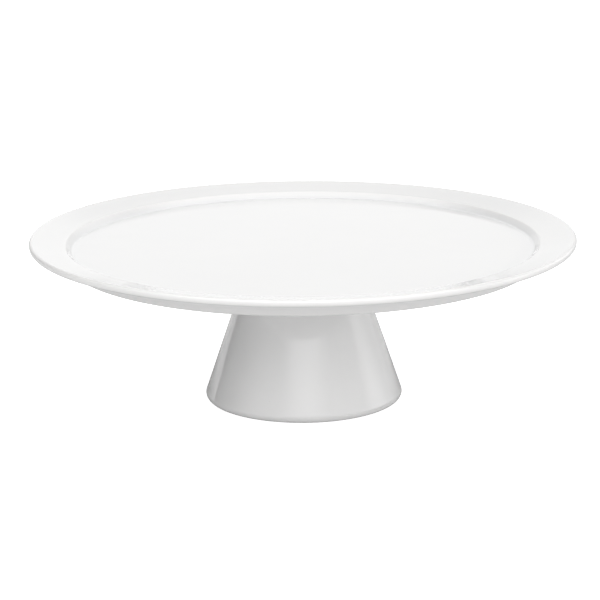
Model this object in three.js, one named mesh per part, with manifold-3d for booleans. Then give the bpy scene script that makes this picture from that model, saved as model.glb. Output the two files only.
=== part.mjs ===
// A two-piece glazed porcelain cake stand, in millimetres, with +Z up and the table at z = 0.
// A round rimmed plate is bolted to a hollow cone-shaped pedestal. A steel stud is cemented into a boss under
// the plate, passes through the pedestal's deck, and is drawn down by a wing nut inside the hollow.
// The origin is on the stand's axis, on the surface that the foot ring stands on.

import * as THREE from "three";
import { mergeVertices } from "three/addons/utils/BufferGeometryUtils.js";
import Module from "manifold-3d";

const wasm = await Module();
wasm.setup();

// ---------------------------------------------------------------- driving dimensions, mm

const STAND_HEIGHT = 94.7; // table to the top of the plate's lip
const PLATE_DIAMETER = 305;
const FOOT_DIAMETER = 114; // pedestal, at its foot, before the edge is rounded
const NECK_DIAMETER = 60; // pedestal, at its deck, before the edge is rounded

// Plate
const RIM_WIDTH = 20; // crest of the well to the plate's edge
const RIM_SLOPE = THREE.MathUtils.degToRad(10); // the rim rises outwards
const LIP_THICKNESS = 3.9;
const LIP_ROUND = 1.9;
const WELL_DEPTH = 3.4; // crest of the well to its floor
const WELL_WALL_RUN = 3.6; // how far the well's wall leans outwards
const FLOOR_THICKNESS = 7.5;
const STEP_INSET = 21.1; // plate's edge to the underside's corner
const STEP_LEAN = 5; // how far the step's wall leans outwards
const BOSS_WALL = 4.9; // centring boss, round the socket that the stud is cemented into
const SOCKET_COVER = 4.1; // porcelain left between the socket and the well's floor
const CREST_ROUND = 2.2;
const WELL_ROUND = 2.6;
const STEP_ROUND = 3.6;
const STEP_ROOT_ROUND = 3.5;

// Pedestal
const PEDESTAL_WALL = 5;
const DECK_THICKNESS = 7;
const FOOT_RING_WIDTH = 11;
const FOOT_RING_HEIGHT = 5;
const FOOT_ROUND = 3.3;
const NECK_ROUND = 1.5;
const HOLLOW_ROUND = 5;
const EDGE_ROUND = 0.8; // small glazed edges

// Joint between the two, from the top down
const GASKET_THICKNESS = 1.5;
const GASKET_MARGIN = 3; // gasket's outer edge, inside the neck
const THREAD_DIAMETER = 8;
const THREAD_CHAMFER = 0.8;
const STUD_END = 4.5; // stud shown below the nut
const WASHER_OVERLAP = 3.5; // washers' outer edge, past the deck's hole
const RUBBER_WASHER_THICKNESS = 2;
const STEEL_WASHER_THICKNESS = 1.6;
const CEMENT_WALL = 1;
const CEMENT_COVER = 0.8; // cement above the stud's head

// Wing nut
const NUT_HEIGHT = 8;
const NUT_TOP_WALL = 3.7; // metal round the bore, at the bearing face
const NUT_END_WALL = 2;
const WING_SPAN = 39;
const WING_DROP = 19; // nut's bearing face to the wings' tips
const WING_THICKNESS = 3;
const WING_ROOT_RADIUS = 3.2;
const WING_TIP_RADIUS = 4.8;

// Clearances
const BOSS_CLEARANCE = 0.7; // boss to the deck's hole, all round
const BOSS_STOP = 2.5; // boss's end, above the deck's underside
const FIT_GAP = 0.3; // round surfaces that touch on the real stand

// Facets round the axis
const LARGE_FACETS = 72;
const SMALL_FACETS = 32;
const WING_FACETS = 8; // in each of a wing's two arcs
const ROUND_STEPS = 3; // facets in a rounded edge

// Limits of the shape helpers
const ROUND_SHARE = 0.48; // a rounding takes less than half of the edge that it starts on
const MERGE_DISTANCE = 1e-3;

// ---------------------------------------------------------------- levels and radii worked out from them

const plateRadius = PLATE_DIAMETER / 2;
const lipRound = Math.min(LIP_ROUND, ROUND_SHARE * LIP_THICKNESS);
const lipRise = lipRound * (Math.tan(RIM_SLOPE) + 1 / Math.cos(RIM_SLOPE) - 1); // the rounding takes this off
const lipCornerZ = STAND_HEIGHT + lipRise;
const rimThickness = LIP_THICKNESS / Math.cos(RIM_SLOPE); // measured upright
const crestRadius = plateRadius - RIM_WIDTH;
const crestZ = lipCornerZ - RIM_WIDTH * Math.tan(RIM_SLOPE);
const floorZ = crestZ - WELL_DEPTH;
const undersideZ = floorZ - FLOOR_THICKNESS;
const stepRadius = plateRadius - STEP_INSET;
const stepRootRadius = stepRadius + STEP_LEAN;
const stepRootZ = lipCornerZ - rimThickness - (plateRadius - stepRootRadius) * Math.tan(RIM_SLOPE);
const threadRadius = THREAD_DIAMETER / 2;
const boreRadius = threadRadius + FIT_GAP; // whatever the stud passes through
const socketRadius = boreRadius + CEMENT_WALL + FIT_GAP;
const socketTopZ = floorZ - SOCKET_COVER;
const bossRadius = socketRadius + BOSS_WALL;

const footRadius = FOOT_DIAMETER / 2;
const neckRadius = NECK_DIAMETER / 2;
const deckTopZ = undersideZ - GASKET_THICKNESS;
const deckUnderZ = deckTopZ - DECK_THICKNESS;
const deckHoleRadius = bossRadius + BOSS_CLEARANCE;
const bossEndZ = deckUnderZ + BOSS_STOP;
const coneRun = (footRadius - neckRadius) / deckTopZ; // radius lost for each millimetre up
const wallRun = PEDESTAL_WALL * Math.hypot(1, coneRun); // wall's thickness, measured level
const hollowRadiusAt = (z) => footRadius - coneRun * z - wallRun;
const footRingInner = footRadius - FOOT_RING_WIDTH;

const washerRadius = deckHoleRadius + WASHER_OVERLAP;
const rubberUnderZ = deckUnderZ - RUBBER_WASHER_THICKNESS;
const steelUnderZ = rubberUnderZ - STEEL_WASHER_THICKNESS;
const nutUnderZ = steelUnderZ - NUT_HEIGHT;
const nutTopRadius = boreRadius + NUT_TOP_WALL;
const nutEndRadius = boreRadius + NUT_END_WALL;
const studTopZ = socketTopZ - CEMENT_COVER;
const studEndZ = nutUnderZ - STUD_END;

// ---------------------------------------------------------------- shape helpers

// Turns corners [radius, z, rounding] into outline points, with each rounded corner as an arc.
function roundedOutline(corners, closed) {
  const points = [];
  corners.forEach(([x, y, rounding = 0], i) => {
    const corner = new THREE.Vector2(x, y);
    const isEnd = !closed && (i === 0 || i === corners.length - 1);
    if (!rounding || isEnd) {
      points.push(corner);
      return;
    }
    const before = new THREE.Vector2(...corners.at(i - 1)).sub(corner);
    const after = new THREE.Vector2(...corners[(i + 1) % corners.length]).sub(corner);
    const room = ROUND_SHARE * Math.min(before.length(), after.length());
    before.normalize();
    after.normalize();
    const half = Math.acos(THREE.MathUtils.clamp(before.dot(after), -1, 1)) / 2;
    const radius = Math.min(rounding, room * Math.tan(half));
    const centre = before.clone().add(after).normalize().multiplyScalar(radius / Math.sin(half)).add(corner);
    const from = before.multiplyScalar(radius / Math.tan(half)).add(corner).sub(centre);
    const to = after.multiplyScalar(radius / Math.tan(half)).add(corner).sub(centre);
    const turn = Math.atan2(from.cross(to), from.dot(to));
    for (let step = 0; step <= ROUND_STEPS; step++) {
      points.push(from.clone().rotateAround(new THREE.Vector2(), (turn * step) / ROUND_STEPS).add(centre));
    }
  });
  if (closed) points.push(points[0].clone());
  return points;
}

// Spins an outline about Z. The outline runs outwards along the bottom and inwards along the top.
function spun(corners, facets, closed = false) {
  const geometry = new THREE.LatheGeometry(roundedOutline(corners, closed), facets);
  return geometry.rotateX(Math.PI / 2);
}

// A flat ring.
function ring(innerRadius, outerRadius, underZ, topZ, facets) {
  return spun(
    [
      [innerRadius, underZ],
      [outerRadius, underZ],
      [outerRadius, topZ],
      [innerRadius, topZ],
    ],
    facets,
    true,
  );
}

function toSolid(geometry) {
  const bare = geometry.clone();
  bare.deleteAttribute("normal");
  bare.deleteAttribute("uv");
  const merged = mergeVertices(bare, MERGE_DISTANCE);
  const vertProperties = merged.attributes.position.array;
  const triVerts = new Uint32Array(merged.index.array);
  return new wasm.Manifold(new wasm.Mesh({ numProp: 3, vertProperties, triVerts }));
}

function toGeometry(solid) {
  const mesh = solid.getMesh();
  const geometry = new THREE.BufferGeometry();
  geometry.setAttribute("position", new THREE.BufferAttribute(mesh.vertProperties, 3));
  geometry.setIndex(new THREE.BufferAttribute(mesh.triVerts, 1));
  geometry.computeVertexNormals();
  return geometry;
}

// ---------------------------------------------------------------- the pieces

// Rimmed plate: flat well, leaning wall, sloping rim and rounded lip above; step, boss and socket below.
function plateGeometry() {
  return spun(
    [
      [0, socketTopZ],
      [socketRadius, socketTopZ],
      [socketRadius, bossEndZ],
      [bossRadius, bossEndZ, EDGE_ROUND],
      [bossRadius, undersideZ],
      [stepRadius, undersideZ, STEP_ROUND],
      [stepRootRadius, stepRootZ, STEP_ROOT_ROUND],
      [plateRadius, lipCornerZ - rimThickness, lipRound],
      [plateRadius, lipCornerZ, lipRound],
      [crestRadius, crestZ, CREST_ROUND],
      [crestRadius - WELL_WALL_RUN, floorZ, WELL_ROUND],
      [0, floorZ],
    ],
    LARGE_FACETS,
  );
}

// Hollow cone, closed at the neck by a deck with a hole. It stands on a thicker ring at its foot.
function pedestalGeometry() {
  return spun(
    [
      [footRingInner, 0, EDGE_ROUND],
      [footRadius, 0, FOOT_ROUND],
      [neckRadius, deckTopZ, NECK_ROUND],
      [deckHoleRadius, deckTopZ, EDGE_ROUND],
      [deckHoleRadius, deckUnderZ, EDGE_ROUND],
      [hollowRadiusAt(deckUnderZ), deckUnderZ, HOLLOW_ROUND],
      [hollowRadiusAt(FOOT_RING_HEIGHT), FOOT_RING_HEIGHT],
      [footRingInner, FOOT_RING_HEIGHT, EDGE_ROUND],
    ],
    LARGE_FACETS,
    true,
  );
}

// Threaded stud as a plain rod at the thread's outer diameter, chamfered at both ends.
function studGeometry() {
  const endRadius = threadRadius - THREAD_CHAMFER;
  return spun(
    [
      [0, studEndZ],
      [endRadius, studEndZ],
      [threadRadius, studEndZ + THREAD_CHAMFER],
      [threadRadius, studTopZ - THREAD_CHAMFER],
      [endRadius, studTopZ],
      [0, studTopZ],
    ],
    SMALL_FACETS,
  );
}

// Cup of cement that holds the stud in the plate's socket.
function cementGeometry() {
  const outer = socketRadius - FIT_GAP;
  return spun(
    [
      [0, studTopZ],
      [boreRadius, studTopZ],
      [boreRadius, bossEndZ],
      [outer, bossEndZ],
      [outer, socketTopZ],
      [0, socketTopZ],
    ],
    SMALL_FACETS,
  );
}

// One wing's outline in the XZ plane: two circles, one at the hub and one at the tip, and their tangents.
function wingShape() {
  const root = new THREE.Vector2(nutEndRadius, steelUnderZ - NUT_HEIGHT / 2);
  const tip = new THREE.Vector2(WING_SPAN / 2 - WING_TIP_RADIUS, steelUnderZ - WING_DROP + WING_TIP_RADIUS);
  const along = tip.clone().sub(root);
  const lean = Math.acos((WING_ROOT_RADIUS - WING_TIP_RADIUS) / along.length());
  const from = along.angle() + lean;
  const to = along.angle() - lean;
  const shape = new THREE.Shape();
  shape.absarc(root.x, root.y, WING_ROOT_RADIUS, from, to + 2 * Math.PI, false);
  shape.absarc(tip.x, tip.y, WING_TIP_RADIUS, to, from, false);
  return shape;
}

function wingNutGeometry() {
  const hub = toSolid(
    spun(
      [
        [0, nutUnderZ],
        [nutEndRadius, nutUnderZ, EDGE_ROUND],
        [nutTopRadius, steelUnderZ, EDGE_ROUND],
        [0, steelUnderZ],
      ],
      SMALL_FACETS,
    ),
  );
  const flat = { depth: WING_THICKNESS, bevelEnabled: false, curveSegments: WING_FACETS };
  const wing = new THREE.ExtrudeGeometry(wingShape(), flat);
  wing.translate(0, 0, -WING_THICKNESS / 2).rotateX(Math.PI / 2);
  const wings = toSolid(wing).add(toSolid(wing.clone().rotateZ(Math.PI)));
  const bore = toSolid(
    spun(
      [
        [0, nutUnderZ - NUT_HEIGHT],
        [boreRadius, nutUnderZ - NUT_HEIGHT],
        [boreRadius, rubberUnderZ],
        [0, rubberUnderZ],
      ],
      SMALL_FACETS,
    ),
  );
  return toGeometry(hub.add(wings).subtract(bore));
}

// ---------------------------------------------------------------- materials

const glaze = new THREE.MeshStandardMaterial({ color: 0xf3f3f2, roughness: 0.12, metalness: 0 });
const silicone = new THREE.MeshStandardMaterial({ color: 0xe4e4e0, roughness: 0.55, metalness: 0 });
const blackRubber = new THREE.MeshStandardMaterial({ color: 0x2b2b2b, roughness: 0.8, metalness: 0 });
const zincSteel = new THREE.MeshStandardMaterial({ color: 0xb9bcc0, roughness: 0.3, metalness: 1 });
const cementGrey = new THREE.MeshStandardMaterial({ color: 0xcfcbc2, roughness: 0.9, metalness: 0 });

// ---------------------------------------------------------------- assembly

function piece(name, geometry, material) {
  const mesh = new THREE.Mesh(geometry, material);
  mesh.name = name;
  return mesh;
}

function plateAssembly() {
  const group = new THREE.Group();
  group.add(piece("plate", plateGeometry(), glaze));
  group.add(piece("threaded_stud", studGeometry(), zincSteel));
  group.add(piece("stud_cement", cementGeometry(), cementGrey));
  return group;
}

function pedestalAssembly() {
  const group = new THREE.Group();
  group.add(piece("pedestal", pedestalGeometry(), glaze));
  const gasketRadius = neckRadius - GASKET_MARGIN;
  const gasket = ring(deckHoleRadius + EDGE_ROUND, gasketRadius, deckTopZ, undersideZ, LARGE_FACETS);
  group.add(piece("seat_gasket", gasket, silicone));
  return group;
}

function clampAssembly() {
  const group = new THREE.Group();
  const rubber = ring(boreRadius, washerRadius, rubberUnderZ, deckUnderZ, SMALL_FACETS);
  const steel = ring(boreRadius, washerRadius, steelUnderZ, rubberUnderZ, SMALL_FACETS);
  group.add(piece("rubber_washer", rubber, blackRubber));
  group.add(piece("steel_washer", steel, zincSteel));
  group.add(piece("wing_nut", wingNutGeometry(), zincSteel));
  return group;
}

const cakeStand = new THREE.Group();
cakeStand.add(plateAssembly(), pedestalAssembly(), clampAssembly());

export default cakeStand;
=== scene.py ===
"""Looks for a two-piece white porcelain cake stand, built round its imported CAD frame. Metres, +Z up."""

import math

import bpy
from mathutils import Matrix, Vector


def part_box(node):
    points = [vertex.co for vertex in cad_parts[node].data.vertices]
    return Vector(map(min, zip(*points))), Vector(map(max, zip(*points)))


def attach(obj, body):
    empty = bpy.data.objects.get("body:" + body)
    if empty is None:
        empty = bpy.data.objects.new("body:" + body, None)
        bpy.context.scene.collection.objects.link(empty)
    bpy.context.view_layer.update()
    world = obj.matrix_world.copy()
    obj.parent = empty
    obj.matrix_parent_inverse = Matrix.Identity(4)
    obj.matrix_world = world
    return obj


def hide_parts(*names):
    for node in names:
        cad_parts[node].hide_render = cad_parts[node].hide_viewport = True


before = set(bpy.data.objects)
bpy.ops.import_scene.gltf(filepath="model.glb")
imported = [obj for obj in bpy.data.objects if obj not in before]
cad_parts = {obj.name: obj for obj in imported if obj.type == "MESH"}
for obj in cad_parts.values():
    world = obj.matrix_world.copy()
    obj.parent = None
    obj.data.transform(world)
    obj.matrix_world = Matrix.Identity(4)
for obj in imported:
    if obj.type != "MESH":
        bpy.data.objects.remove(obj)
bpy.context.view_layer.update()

MM = 0.001

# Plate's section, as on the CAD part
RIM_WIDTH = 20 * MM
RIM_SLOPE = math.radians(10)
LIP_THICKNESS = 3.9 * MM
LIP_ROUND = 1.88 * MM
WELL_DEPTH = 3.4 * MM
WELL_WALL_RUN = 3.6 * MM
STEP_INSET = 21.1 * MM
STEP_LEAN = 5 * MM
CREST_ROUND = 2.2 * MM
WELL_ROUND = 2.6 * MM
STEP_ROUND = 3.6 * MM
STEP_ROOT_ROUND = 3.5 * MM
EDGE_ROUND = 0.8 * MM
BOSS_WALL = 4.9 * MM
BOSS_CLEARANCE = 0.7 * MM  # boss to the deck's hole, all round
KILN_RISE = 0.12 * MM
KILN_FLAT_SHARE = 0.5  # of the radius, from the middle

# Pedestal's section
FOOT_RADIUS = 57 * MM
NECK_RADIUS = 30 * MM
PEDESTAL_WALL = 5 * MM
DECK_THICKNESS = 7 * MM
FOOT_RING_WIDTH = 11 * MM
FOOT_RING_HEIGHT = 5 * MM
FOOT_ROUND = 3.3 * MM
NECK_ROUND = 1.5 * MM
HOLLOW_ROUND = 5 * MM
BARE_BELOW = 0.35 * MM  # the foot ring is ground flat, and the glaze stops just above it

# Hardware
THREAD_PITCH = 1.25 * MM
THREAD_DEPTH = 0.65 * MM
THREAD_CHAMFER = 0.8 * MM
NUT_HEIGHT = 8 * MM
NUT_TOP_WALL = 3.7 * MM  # metal round the bore, at the bearing face
NUT_END_WALL = 2 * MM
WING_THICKNESS = 3 * MM
WING_ROOT_RADIUS = 3.2 * MM
WING_TIP_RADIUS = 4.8 * MM
FIT_GAP = 0.3 * MM
GASKET_ROUND = 0.4 * MM
RUBBER_ROUND = 0.45 * MM
STAMPED_ROUND = 0.22 * MM
CEMENT_ROUND = 0.2 * MM
CEMENT_HOLLOW = 0.3 * MM  # how far the cement dips beside the stud
CRUMB_HEIGHT = 0.05 * MM

# Mesh detail
ROUND_STEPS = 18
SUPPORT = 0.35 * MM  # rings this far from a rounding keep the flats flat under gloss
LONGEST_RUN = 9 * MM
AXIS_RADIUS = 1e-7  # a point nearer the axis than this is one vertex
PLATE_SEGMENTS = 288
PEDESTAL_SEGMENTS = 224
GASKET_SEGMENTS = 160
WASHER_SEGMENTS = 128
HARDWARE_SEGMENTS = 96
THREAD_SEGMENTS = 64
ROWS_PER_PITCH = 10
WING_ARC_STEPS = 24
CAST_VOXEL = 0.3 * MM
CAST_SOFTENING = (0.5, 6)  # share and passes
CUTTER_OVERRUN = 2 * MM
THREAD_CREASE = math.radians(35)
CAST_CREASE = math.radians(50)


# ---------------------------------------------------------------- outlines and meshes

def rounded_outline(corners, closed):
    """Corners (r, z, rounding) as outline points, with each rounded corner as an arc."""
    points = []
    count = len(corners)
    for i, corner in enumerate(corners):
        here = Vector(corner[:2])
        rounding = corner[2] if len(corner) > 2 else 0
        if not rounding or (not closed and i in (0, count - 1)):
            points.append(here)
            continue
        before = Vector(corners[i - 1][:2]) - here
        after = Vector(corners[(i + 1) % count][:2]) - here
        room = 0.48 * min(before.length, after.length)
        before.normalize()
        after.normalize()
        half = before.angle(after) / 2
        radius = min(rounding, room * math.tan(half))
        centre = here + (before + after).normalized() * radius / math.sin(half)
        start = here + before * radius / math.tan(half) - centre
        end = here + after * radius / math.tan(half) - centre
        turn = start.angle_signed(end) * -1
        for step in range(ROUND_STEPS + 1):
            a = turn * step / ROUND_STEPS
            c, s = math.cos(a), math.sin(a)
            points.append(centre + Vector((start.x * c - start.y * s, start.x * s + start.y * c)))
    if closed:
        points.append(points[0].copy())
    return points


def supported(points):
    """The same outline with points close to both ends of each straight run, and along it."""
    out = [points[0]]
    for a, b in zip(points, points[1:]):
        run = (b - a).length
        if run > 3 * SUPPORT:
            inner = [SUPPORT / run, 1 - SUPPORT / run]
            parts = max(1, math.ceil((run - 2 * SUPPORT) / LONGEST_RUN))
            out += [a.lerp(b, inner[0] + (inner[1] - inner[0]) * k / parts) for k in range(parts + 1)]
        out.append(b)
    return out


def make_piece(name, vertices, faces, material, smooth=True):
    mesh = bpy.data.meshes.new(name)
    mesh.from_pydata([tuple(v) for v in vertices], [], faces)
    mesh.validate()
    mesh.update()
    mesh.polygons.foreach_set("use_smooth", [smooth] * len(mesh.polygons))
    piece = bpy.data.objects.new(name, mesh)
    bpy.context.scene.collection.objects.link(piece)
    if material:
        mesh.materials.append(material)
    return piece


def spun(name, corners, segments, material, closed=False, shape=None):
    """Spins an outline about Z. shape may move each point, as (x, y, z) -> (x, y, z)."""
    points = supported(rounded_outline(corners, closed))
    if closed:
        points = points[:-1]
    vertices, rows = [], []
    for p in points:
        if p.x < AXIS_RADIUS:
            rows.append([len(vertices)] * segments)
            vertices.append((0.0, 0.0, p.y))
            continue
        rows.append(list(range(len(vertices), len(vertices) + segments)))
        for k in range(segments):
            a = 2 * math.pi * k / segments
            vertices.append((p.x * math.cos(a), p.x * math.sin(a), p.y))
    faces = []
    pairs = list(zip(rows, rows[1:])) + ([(rows[-1], rows[0])] if closed else [])
    for low, high in pairs:
        for k in range(segments):
            n = (k + 1) % segments
            face = [low[k], low[n], high[n], high[k]]
            face = [v for i, v in enumerate(face) if v != face[i - 1]]
            if len(face) > 2:
                faces.append(face)
    if shape:
        vertices = [shape(v) for v in vertices]
    return make_piece(name, vertices, faces, material)


def ring_corners(inner, outer, under, top, rounding):
    section = ((inner, under), (outer, under), (outer, top), (inner, top))
    return [(r, z, rounding) for r, z in section]


# ---------------------------------------------------------------- materials

class Nodes:
    """A short way to build a node tree."""

    def __init__(self, name):
        self.material = bpy.data.materials.new(name)
        self.material.use_nodes = True
        self.tree = self.material.node_tree
        self.shader = self.tree.nodes["Principled BSDF"]
        self.place = self.add("ShaderNodeTexCoord").outputs["Object"]

    def add(self, kind, **values):
        node = self.tree.nodes.new(kind)
        for key, value in values.items():
            setattr(node, key, value)
        return node

    def link(self, source, target):
        self.tree.links.new(source, target)

    def feed(self, socket, value):
        if isinstance(value, bpy.types.NodeSocket):
            self.link(value, socket)
        elif value is not None:
            socket.default_value = value

    def noise(self, scale, detail=3.0, roughness=0.55, stretch=None):
        node = self.add("ShaderNodeTexNoise")
        node.inputs["Scale"].default_value = scale
        node.inputs["Detail"].default_value = detail
        node.inputs["Roughness"].default_value = roughness
        if stretch:
            mapping = self.add("ShaderNodeMapping")
            mapping.inputs["Scale"].default_value = stretch
            self.link(self.place, mapping.inputs["Vector"])
            self.link(mapping.outputs["Vector"], node.inputs["Vector"])
        else:
            self.link(self.place, node.inputs["Vector"])
        return node.outputs["Fac"]

    def cells(self, scale, feature="F1"):
        node = self.add("ShaderNodeTexVoronoi", feature=feature)
        node.inputs["Scale"].default_value = scale
        self.link(self.place, node.inputs["Vector"])
        return node

    def spread(self, value, low, high, to_low=0.0, to_high=1.0, smooth=True):
        node = self.add("ShaderNodeMapRange")
        node.interpolation_type = "SMOOTHSTEP" if smooth else "LINEAR"
        self.feed(node.inputs["Value"], value)
        node.inputs["From Min"].default_value = low
        node.inputs["From Max"].default_value = high
        node.inputs["To Min"].default_value = to_low
        node.inputs["To Max"].default_value = to_high
        return node.outputs["Result"]

    def math(self, operation, a, b=None):
        node = self.add("ShaderNodeMath", operation=operation)
        self.feed(node.inputs[0], a)
        self.feed(node.inputs[1], b)
        return node.outputs[0]

    def mix(self, share, a, b):
        node = self.add("ShaderNodeMix", data_type="RGBA")
        self.feed(node.inputs["Factor"], share)
        self.feed(node.inputs[6], a)
        self.feed(node.inputs[7], b)
        return node.outputs[2]

    def attribute(self, name):
        return self.add("ShaderNodeAttribute", attribute_name=name).outputs["Fac"]

    def bump(self, height, distance, strength=1.0, under=None):
        node = self.add("ShaderNodeBump")
        node.inputs["Strength"].default_value = strength
        node.inputs["Distance"].default_value = distance
        self.link(height, node.inputs["Height"])
        if under:
            self.link(under, node.inputs["Normal"])
        return node.outputs["Normal"]

    def finish(self, colour, roughness, normal, metallic=0.0, **sockets):
        self.feed(self.shader.inputs["Base Color"], colour)
        self.feed(self.shader.inputs["Roughness"], roughness)
        self.feed(self.shader.inputs["Normal"], normal)
        self.shader.inputs["Metallic"].default_value = metallic
        for key, value in sockets.items():
            self.shader.inputs[key.replace("_", " ")].default_value = value
        return self.material


def grey(value, warmth=0.0):
    return (value * (1 + warmth), value, value * (1 - warmth), 1)


def glaze_material(name, bare_below=None):
    """White glaze: thin and warmer over sharp edges, pooled and cooler in corners, softly rippled."""
    n = Nodes(name)
    cloud = n.spread(n.noise(9, 4), 0.3, 0.7)
    colour = n.mix(cloud, grey(0.865, 0.002), grey(0.88, 0.004))
    colour = n.mix(n.math("MULTIPLY", n.attribute("pool"), 0.8), colour, grey(0.845, -0.006))
    colour = n.mix(n.math("MULTIPLY", n.attribute("edge"), 0.6), colour, grey(0.9, 0.012))
    specks = n.cells(420)
    rare = n.spread(n.noise(150, 1), 0.66, 0.70)
    dot = n.math("MULTIPLY", n.spread(specks.outputs["Distance"], 0.10, 0.05), rare)
    colour = n.mix(n.math("MULTIPLY", dot, 0.35), colour, grey(0.55, 0.06))
    wiped = n.spread(n.noise(30, 5, 0.6), 0.35, 0.75, 0.055, 0.12)
    roughness = n.math("ADD", wiped, n.math("MULTIPLY", dot, 0.2))
    ripple = n.bump(n.noise(38, 1), 0.1 * MM, 0.35)
    orange_peel = n.bump(n.noise(420, 2), 0.004 * MM, 0.3, ripple)
    normal = n.bump(dot, 0.012 * MM, 0.3, orange_peel)
    if bare_below:
        separate = n.add("ShaderNodeSeparateXYZ")
        n.link(n.place, separate.inputs[0])
        wander = n.math("MULTIPLY", n.math("SUBTRACT", n.noise(90, 3), 0.5), 0.5 * MM)
        level = n.math("ADD", separate.outputs["Z"], wander)
        bare = n.spread(level, bare_below, bare_below - 0.12 * MM)
        grain = n.noise(2600, 3, 0.7)
        biscuit = n.mix(grain, grey(0.70, 0.03), grey(0.82, 0.025))
        smudge = n.spread(n.noise(70, 4), 0.5, 0.8, 0, 0.35)
        biscuit = n.mix(smudge, biscuit, grey(0.52, 0.05))
        colour = n.mix(bare, colour, biscuit)
        roughness = n.math("ADD", roughness, n.math("MULTIPLY", bare, 0.62))
        normal = n.bump(n.math("MULTIPLY", grain, bare), 0.06 * MM, 0.8, normal)
    return n.finish(colour, roughness, normal, IOR=1.52, Coat_Weight=0.7, Coat_Roughness=0.03, Coat_IOR=1.5)


def silicone_material():
    n = Nodes("silicone")
    colour = n.mix(n.spread(n.noise(120, 4), 0.3, 0.7), grey(0.66, 0.01), grey(0.75, 0.015))
    dust = n.spread(n.noise(900, 2), 0.62, 0.7)
    colour = n.mix(n.math("MULTIPLY", dust, 0.4), colour, grey(0.5, 0.03))
    roughness = n.spread(n.noise(60, 4), 0.3, 0.7, 0.38, 0.6)
    return n.finish(colour, roughness, n.bump(n.noise(1500, 3), 0.03 * MM, 0.7), IOR=1.41)


def rubber_material():
    n = Nodes("black_rubber")
    bloom = n.spread(n.noise(140, 5, 0.65), 0.4, 0.75)
    colour = n.mix(bloom, grey(0.018), grey(0.055, 0.03))
    roughness = n.spread(n.noise(300, 3), 0.3, 0.7, 0.68, 0.9)
    return n.finish(colour, roughness, n.bump(n.noise(2200, 4, 0.65), 0.06 * MM, 0.8), IOR=1.5)


def zinc_material(name, stretch=None, grain=1400):
    """Bright zinc plating: faint blue and straw clouds, fine scratches, duller in random patches."""
    n = Nodes(name)
    clouds = n.spread(n.noise(110, 4), 0.35, 0.7)
    colour = n.mix(clouds, (0.60, 0.62, 0.66, 1), (0.68, 0.67, 0.63, 1))
    dull = n.spread(n.noise(320, 5, 0.7), 0.45, 0.8)
    colour = n.mix(n.math("MULTIPLY", dull, 0.5), colour, (0.42, 0.43, 0.45, 1))
    roughness = n.math("ADD", n.spread(n.noise(260, 4), 0.3, 0.7, 0.2, 0.36), n.math("MULTIPLY", dull, 0.14))
    lines = n.bump(n.noise(grain, 3, 0.6, stretch), 0.03 * MM, 0.6)
    normal = n.bump(n.noise(240, 4), 0.08 * MM, 0.4, lines)
    return n.finish(colour, roughness, normal, metallic=1.0)


def cement_material():
    n = Nodes("cement")
    colour = n.mix(n.spread(n.noise(500, 5, 0.7), 0.3, 0.7), grey(0.42, 0.03), grey(0.62, 0.04))
    pits = n.spread(n.cells(1500).outputs["Distance"], 0.15, 0.3)
    # painted shade: the pit centres are painted dark grey, as the shade inside the pits, which the bump also
    # sinks
    colour = n.mix(n.math("SUBTRACT", 1.0, pits), colour, grey(0.2, 0.04))
    normal = n.bump(n.math("MULTIPLY", n.noise(1300, 5, 0.7), pits), 0.2 * MM, 0.9)
    return n.finish(colour, n.spread(n.noise(700, 3), 0.3, 0.7, 0.82, 0.97), normal)


plate_glaze = glaze_material("plate_glaze")
silicone = silicone_material()
black_rubber = rubber_material()
rolled_zinc = zinc_material("washer_zinc", (1.0, 1.0, 1.0), 700)
cast_zinc = zinc_material("nut_zinc", None, 900)
thread_zinc = zinc_material("stud_zinc", (1.0, 1.0, 6.0), 900)
cement = cement_material()


# ---------------------------------------------------------------- measures taken from the frame

def box_of(node):
    low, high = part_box(node)
    return Vector(low), Vector(high)


plate_low, plate_high = box_of("plate")
pedestal_low, pedestal_high = box_of("pedestal")
gasket_low, gasket_high = box_of("seat_gasket")
stud_low, stud_high = box_of("threaded_stud")
cement_low, cement_high = box_of("stud_cement")
nut_low, nut_high = box_of("wing_nut")

thread_radius = stud_high.x
bore_radius = thread_radius + FIT_GAP
socket_radius = cement_high.x + FIT_GAP
boss_radius = socket_radius + BOSS_WALL
deck_hole_radius = boss_radius + BOSS_CLEARANCE


# ---------------------------------------------------------------- pieces

def mark(piece, name, value_at):
    """Gives a piece a number at each vertex, from 0 to 1, that its material reads."""
    layer = piece.data.attributes.new(name, "FLOAT", "POINT")
    layer.data.foreach_set("value", [value_at(v.co) for v in piece.data.vertices])


def near(co, spots, reach):
    """1 at the nearest of the spots (r, z) in the section, falling to 0 at reach from it."""
    r = math.hypot(co.x, co.y)
    gap = min(math.hypot(r - spot[0], co.z - spot[1]) for spot in spots)
    return max(0.0, 1 - gap / reach) ** 1.5


def kiln_warp(co):
    """A fired plate is never quite flat: its rim rises and falls a little on its way round."""
    x, y, z = co
    r = math.hypot(x, y) / plate_high.x
    a = math.atan2(y, x)
    rise = math.cos(2 * a + 0.7) + 0.5 * math.cos(3 * a - 1.1)
    bend = max(0.0, (r - KILN_FLAT_SHARE) / (1 - KILN_FLAT_SHARE)) ** 2
    return (x, y, z + KILN_RISE * rise * bend)


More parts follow.
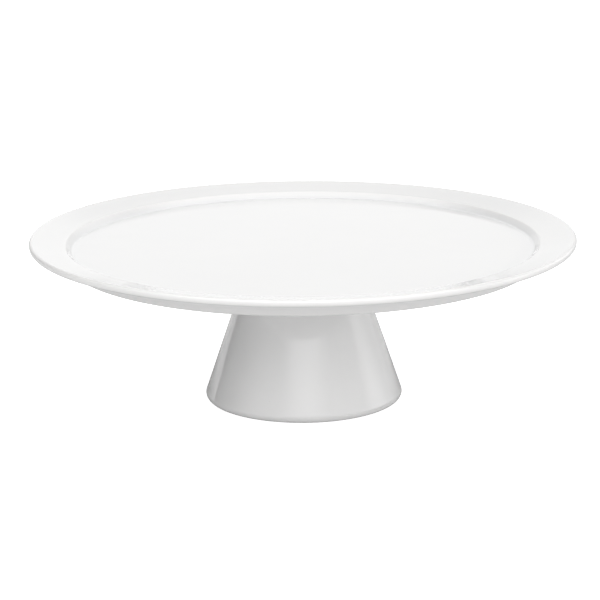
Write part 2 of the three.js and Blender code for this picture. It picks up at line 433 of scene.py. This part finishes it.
def build_plate():
    radius = plate_high.x
    lip_rise = LIP_ROUND * (math.tan(RIM_SLOPE) + 1 / math.cos(RIM_SLOPE) - 1)
    lip_z = plate_high.z + lip_rise - 0.2 * MM
    rim_thickness = LIP_THICKNESS / math.cos(RIM_SLOPE)
    crest = (radius - RIM_WIDTH, lip_z - RIM_WIDTH * math.tan(RIM_SLOPE))
    floor = (crest[0] - WELL_WALL_RUN, crest[1] - WELL_DEPTH)
    step = (radius - STEP_INSET, gasket_high.z)
    root_radius = step[0] + STEP_LEAN
    root = (root_radius, lip_z - rim_thickness - (radius - root_radius) * math.tan(RIM_SLOPE))
    corners = [
        (0, cement_high.z),
        (socket_radius, cement_high.z),
        (socket_radius, plate_low.z),
        (boss_radius, plate_low.z, EDGE_ROUND),
        (boss_radius, step[1], EDGE_ROUND),
        (*step, STEP_ROUND),
        (*root, STEP_ROOT_ROUND),
        (radius, lip_z - rim_thickness, LIP_ROUND),
        (radius, lip_z, LIP_ROUND),
        (*crest, CREST_ROUND),
        (*floor, WELL_ROUND),
        (0, floor[1]),
    ]
    piece = spun("plate_glazed", corners, PLATE_SEGMENTS, plate_glaze, shape=kiln_warp)
    edges = [(radius - 0.4 * MM, lip_z - 0.4 * MM), crest, step]
    mark(piece, "edge", lambda co: near(co, edges, 5 * MM))
    mark(piece, "pool", lambda co: near(co, [floor, root], 7 * MM))
    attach(piece, "plate")
    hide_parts("plate")


def hollow_radius_at(z):
    run = (FOOT_RADIUS - NECK_RADIUS) / (pedestal_high.z - pedestal_low.z)
    return FOOT_RADIUS - run * (z - pedestal_low.z) - PEDESTAL_WALL * math.hypot(1, run)


def build_pedestal():
    foot_z, deck_z = pedestal_low.z, pedestal_high.z
    under_z = deck_z - DECK_THICKNESS
    ring_inner = FOOT_RADIUS - FOOT_RING_WIDTH
    ring_top = foot_z + FOOT_RING_HEIGHT
    corners = [
        (ring_inner, foot_z, EDGE_ROUND),
        (FOOT_RADIUS, foot_z, FOOT_ROUND),
        (NECK_RADIUS, deck_z, NECK_ROUND),
        (deck_hole_radius, deck_z, EDGE_ROUND),
        (deck_hole_radius, under_z, EDGE_ROUND),
        (hollow_radius_at(under_z), under_z, HOLLOW_ROUND),
        (hollow_radius_at(ring_top), ring_top, HOLLOW_ROUND),
        (ring_inner, ring_top, EDGE_ROUND),
    ]
    glaze = glaze_material("pedestal_glaze", foot_z + BARE_BELOW)
    piece = spun("pedestal_glazed", corners, PEDESTAL_SEGMENTS, glaze, closed=True)
    edges = [(NECK_RADIUS, deck_z), (ring_inner, ring_top), (deck_hole_radius, under_z)]
    pools = [(hollow_radius_at(under_z), under_z), (hollow_radius_at(ring_top), ring_top)]
    mark(piece, "edge", lambda co: near(co, edges, 4 * MM))
    mark(piece, "pool", lambda co: near(co, pools, 6 * MM))
    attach(piece, "pedestal")
    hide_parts("pedestal")


def build_gasket():
    inner = deck_hole_radius + EDGE_ROUND
    corners = ring_corners(inner, gasket_high.x, gasket_low.z, gasket_high.z, GASKET_ROUND)
    piece = spun("seat_gasket_ring", corners, GASKET_SEGMENTS, silicone, closed=True)
    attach(piece, "pedestal")
    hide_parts("seat_gasket")


def thread_depth_at(turns):
    """How deep the thread is at a point, from 0 at the crest to 1 at the root, over one turn."""
    t = turns % 1.0
    flank = abs(t - 0.5) * 2
    return min(1.0, max(0.0, (1 - flank) * 1.25 - 0.1))


def build_stud():
    """The stud with its real right-hand thread, M8 coarse."""
    segments = THREAD_SEGMENTS
    length = stud_high.z - stud_low.z
    rows = round(length / THREAD_PITCH * ROWS_PER_PITCH)
    vertices = [(0, 0, stud_low.z)]
    for row in range(rows + 1):
        z = stud_low.z + length * row / rows
        end = min(z - stud_low.z, stud_high.z - z)
        limit = thread_radius - max(0.0, THREAD_CHAMFER - end)
        for k in range(segments):
            share = k / segments
            depth = THREAD_DEPTH * thread_depth_at(z / THREAD_PITCH - share)
            r = min(limit, thread_radius - depth)
            a = 2 * math.pi * share
            vertices.append((r * math.cos(a), r * math.sin(a), z))
    top = len(vertices)
    vertices.append((0, 0, stud_high.z))
    faces = []
    for k in range(segments):
        n = (k + 1) % segments
        faces.append((0, 1 + n, 1 + k))
        faces.append((top, top - segments + k, top - segments + n))
        for row in range(rows):
            low, high = 1 + row * segments, 1 + (row + 1) * segments
            faces.append((low + k, low + n, high + n, high + k))
    piece = make_piece("stud_threaded", vertices, faces, thread_zinc)
    piece.data.set_sharp_from_angle(angle=THREAD_CREASE)
    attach(piece, "plate")
    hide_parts("threaded_stud")


def build_cement():
    """Cement cup, with a trowelled, slightly hollow face at the socket's mouth."""
    outer = cement_high.x
    corners = [
        (0, stud_high.z),
        (bore_radius, stud_high.z),
        (bore_radius, cement_low.z + CEMENT_HOLLOW, CEMENT_ROUND),
        (outer, cement_low.z, CEMENT_ROUND),
        (outer, cement_high.z, CEMENT_ROUND),
        (0, cement_high.z),
    ]

    def crumbly(co):
        x, y, z = co
        a = math.atan2(y, x)
        crumbs = CRUMB_HEIGHT * (1 + math.sin(9 * a) * math.cos(5 * a + 1))
        return (x, y, z + crumbs) if z < stud_high.z - MM else co

    piece = spun("stud_cement_cup", corners, HARDWARE_SEGMENTS, cement, shape=crumbly)
    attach(piece, "plate")
    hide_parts("stud_cement")


def build_washers():
    for name, node, rounding, material, slot in (
        ("rubber_washer_ring", "rubber_washer", RUBBER_ROUND, black_rubber, "black_rubber"),
        ("steel_washer_ring", "steel_washer", STAMPED_ROUND, rolled_zinc, "washer_steel"),
    ):
        low, high = box_of(node)
        corners = ring_corners(bore_radius, high.x, low.z, high.z, rounding)
        piece = spun(name, corners, WASHER_SEGMENTS, material, closed=True)
        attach(piece, "washers")
        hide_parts(node)


def wing_outline():
    """One wing in the XZ plane: arcs round its root and its tip, and the tangents between them."""
    root = Vector((bore_radius + NUT_END_WALL, nut_high.z - NUT_HEIGHT / 2))
    tip = Vector((nut_high.x - WING_TIP_RADIUS, nut_low.z + WING_TIP_RADIUS))
    along = tip - root
    heading = math.atan2(along.y, along.x)
    lean = math.acos((WING_ROOT_RADIUS - WING_TIP_RADIUS) / along.length)
    points = []
    for centre, radius, start, end in (
        (root, WING_ROOT_RADIUS, heading + lean, heading - lean + 2 * math.pi),
        (tip, WING_TIP_RADIUS, heading - lean, heading + lean),
    ):
        for step in range(WING_ARC_STEPS + 1):
            a = start + (end - start) * step / WING_ARC_STEPS
            points.append(centre + radius * Vector((math.cos(a), math.sin(a))))
    return points


def wing_mesh(side):
    outline = wing_outline()
    half = WING_THICKNESS / 2
    count = len(outline)
    vertices = [(side * p.x, y, p.y) for y in (-half, half) for p in outline]
    front, back = list(range(count)), list(range(count, 2 * count))
    faces = [front, back[::-1]] if side > 0 else [front[::-1], back]
    for k in range(count):
        n = (k + 1) % count
        face = [front[n], front[k], back[k], back[n]]
        faces.append(face if side > 0 else face[::-1])
    return make_piece(f"wing_{side}", vertices, faces, None)


def apply_modifiers(piece):
    graph = bpy.context.evaluated_depsgraph_get()
    mesh = bpy.data.meshes.new_from_object(piece.evaluated_get(graph))
    piece.modifiers.clear()
    piece.data = mesh


def build_wing_nut():
    """Cast wing nut: hub and wings melted together, edges softened, bore cut clean through."""
    hub_top = bore_radius + NUT_TOP_WALL
    hub_end = bore_radius + NUT_END_WALL
    under = nut_high.z - NUT_HEIGHT
    hub = spun(
        "wing_nut_cast",
        [(0, under), (hub_end, under, EDGE_ROUND), (hub_top, nut_high.z, EDGE_ROUND), (0, nut_high.z)],
        HARDWARE_SEGMENTS,
        cast_zinc,
    )
    helpers = [wing_mesh(1), wing_mesh(-1)]
    for helper in helpers:
        union = hub.modifiers.new("union", "BOOLEAN")
        union.operation = "UNION"
        union.object = helper
    apply_modifiers(hub)
    remesh = hub.modifiers.new("remesh", "REMESH")
    remesh.mode = "VOXEL"
    remesh.voxel_size = CAST_VOXEL
    soften = hub.modifiers.new("soften", "SMOOTH")
    soften.factor, soften.iterations = CAST_SOFTENING
    apply_modifiers(hub)
    low, high = under - CUTTER_OVERRUN, nut_high.z + CUTTER_OVERRUN
    corners = [(0, low), (bore_radius, low), (bore_radius, high), (0, high)]
    bore = spun("bore_cutter", corners, HARDWARE_SEGMENTS, None)
    cut = hub.modifiers.new("bore", "BOOLEAN")
    cut.operation = "DIFFERENCE"
    cut.object = bore
    apply_modifiers(hub)
    for helper in [*helpers, bore]:
        bpy.data.objects.remove(helper)
    hub.data.materials.clear()
    hub.data.materials.append(cast_zinc)
    hub.data.polygons.foreach_set("material_index", [0] * len(hub.data.polygons))
    hub.data.polygons.foreach_set("use_smooth", [True] * len(hub.data.polygons))
    hub.data.set_sharp_from_angle(angle=CAST_CREASE)
    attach(hub, "wing_nut")
    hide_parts("wing_nut")


# ---------------------------------------------------------------- studio

CAMERA_PLACE = Vector((0.0, -1.2203, 0.3668))
CAMERA_PITCH = math.radians(14.29)
CAMERA_YAW = math.radians(0.086)
CAMERA_ROLL = math.radians(-0.493)
CAMERA_LENS = 133.9

FLOOR_SIZE = 24.0
FLOOR_DROP = 0.1 * MM
FLOOR_ALBEDO = 0.69
FLOOR_GLOW = 0.03
FLOOR_SHOWN = 0.9  # its glow for the camera
BACKDROP_SHOWN = 1.1  # the studio's brightness behind the stand, for the camera

AMBIENT = 0.0
OVERHEAD = 0.6
OVERHEAD_FROM = 52  # degrees above the horizon
OVERHEAD_FADE = 6
SOFTBOXES = (
    # azimuth, elevation, half width, half height, softness, glow
    (4, 49, 78, 28, 0.14, 1.82),  # key, over the camera
    (10, 0, 100, 23, 0.12, 1.0),  # low front
    (175, 20, 42, 30, 0.45, 0.78),  # white backdrop
    (-177, 11, 14, 11, 0.5, 0.25),  # its brighter middle
    (115, 8, 32, 26, 0.35, 0.9),  # right wall
    (-95, 40, 30, 22, 0.4, 0.2),  # left wall
)


def build_camera():
    data = bpy.data.cameras.new("camera")
    data.lens = CAMERA_LENS
    data.clip_start, data.clip_end = 0.05, 100
    camera = bpy.data.objects.new("camera", data)
    turn = Matrix.Rotation(CAMERA_YAW, 4, "Z") @ Matrix.Rotation(math.pi / 2 - CAMERA_PITCH, 4, "X")
    camera.matrix_world = Matrix.Translation(CAMERA_PLACE) @ turn @ Matrix.Rotation(CAMERA_ROLL, 4, "Z")
    bpy.context.scene.collection.objects.link(camera)
    bpy.context.scene.camera = camera


def build_floor():
    """A plain floor that the studio lights. It glows for the camera alone, so that it shows white."""
    half = FLOOR_SIZE / 2
    corners = [(-half, -half), (half, -half), (half, half), (-half, half)]
    n = Nodes("floor_white")
    n.shader.inputs["Base Color"].default_value = grey(FLOOR_ALBEDO)
    n.shader.inputs["Roughness"].default_value = 0.9
    n.shader.inputs["Specular IOR Level"].default_value = 0.0
    n.shader.inputs["Emission Color"].default_value = grey(1.0)
    seen = n.add("ShaderNodeLightPath").outputs["Is Camera Ray"]
    n.feed(n.shader.inputs["Emission Strength"], n.spread(seen, 0, 1, FLOOR_GLOW, FLOOR_SHOWN, smooth=False))
    floor = make_piece("floor", [(x, y, -FLOOR_DROP) for x, y in corners], [(0, 1, 2, 3)], n.material, False)


class Sky(Nodes):
    """The studio as the stand sees it: one brightness for each direction."""

    def __init__(self):
        self.world = bpy.data.worlds.new("studio")
        self.world.use_nodes = True
        self.tree = self.world.node_tree
        self.place = self.add("ShaderNodeTexCoord").outputs["Generated"]
        split = self.add("ShaderNodeSeparateXYZ")
        self.link(self.place, split.inputs[0])
        self.x, self.y, self.z = split.outputs

    def softbox(self, azimuth, elevation, half_width, half_height, softness, glow):
        """A soft-edged oval of light. Azimuth 0 is over the camera and 90 is the right; all in degrees."""
        turn = self.math("ARCTAN2", self.x, self.math("MULTIPLY", self.y, -1.0))
        away = self.wrapped(self.math("SUBTRACT", turn, math.radians(azimuth)))
        rise = self.math("SUBTRACT", self.math("ARCSINE", self.z), math.radians(elevation))
        across = self.math("POWER", self.math("DIVIDE", away, math.radians(half_width)), 2.0)
        upward = self.math("POWER", self.math("DIVIDE", rise, math.radians(half_height)), 2.0)
        share = self.math("SQRT", self.math("ADD", across, upward))
        return self.spread(share, 1 + softness, 1 - softness, 0.0, glow)

    def wrapped(self, angle):
        node = self.add("ShaderNodeMath", operation="WRAP")
        self.link(angle, node.inputs[0])
        node.inputs[1].default_value = math.pi
        node.inputs[2].default_value = -math.pi
        return node.outputs[0]


def build_light():
    sky = Sky()
    low, high = (math.sin(math.radians(OVERHEAD_FROM + turn)) for turn in (-OVERHEAD_FADE, OVERHEAD_FADE))
    total = sky.spread(sky.z, low, high, AMBIENT, OVERHEAD)
    for box in SOFTBOXES:
        total = sky.math("ADD", total, sky.softbox(*box))
    seen = sky.add("ShaderNodeLightPath").outputs["Is Camera Ray"]
    total = sky.math("MULTIPLY", total, sky.math("SUBTRACT", 1.0, seen))
    total = sky.math("ADD", total, sky.math("MULTIPLY", seen, BACKDROP_SHOWN))
    background = sky.tree.nodes["Background"]
    background.inputs["Color"].default_value = grey(1.0)
    sky.link(total, background.inputs["Strength"])
    bpy.context.scene.world = sky.world


build_camera()
build_plate()
build_pedestal()
build_gasket()
build_stud()
build_cement()
build_washers()
build_wing_nut()
build_floor()
build_light()

bpy.context.scene.view_settings.view_transform = "Standard"
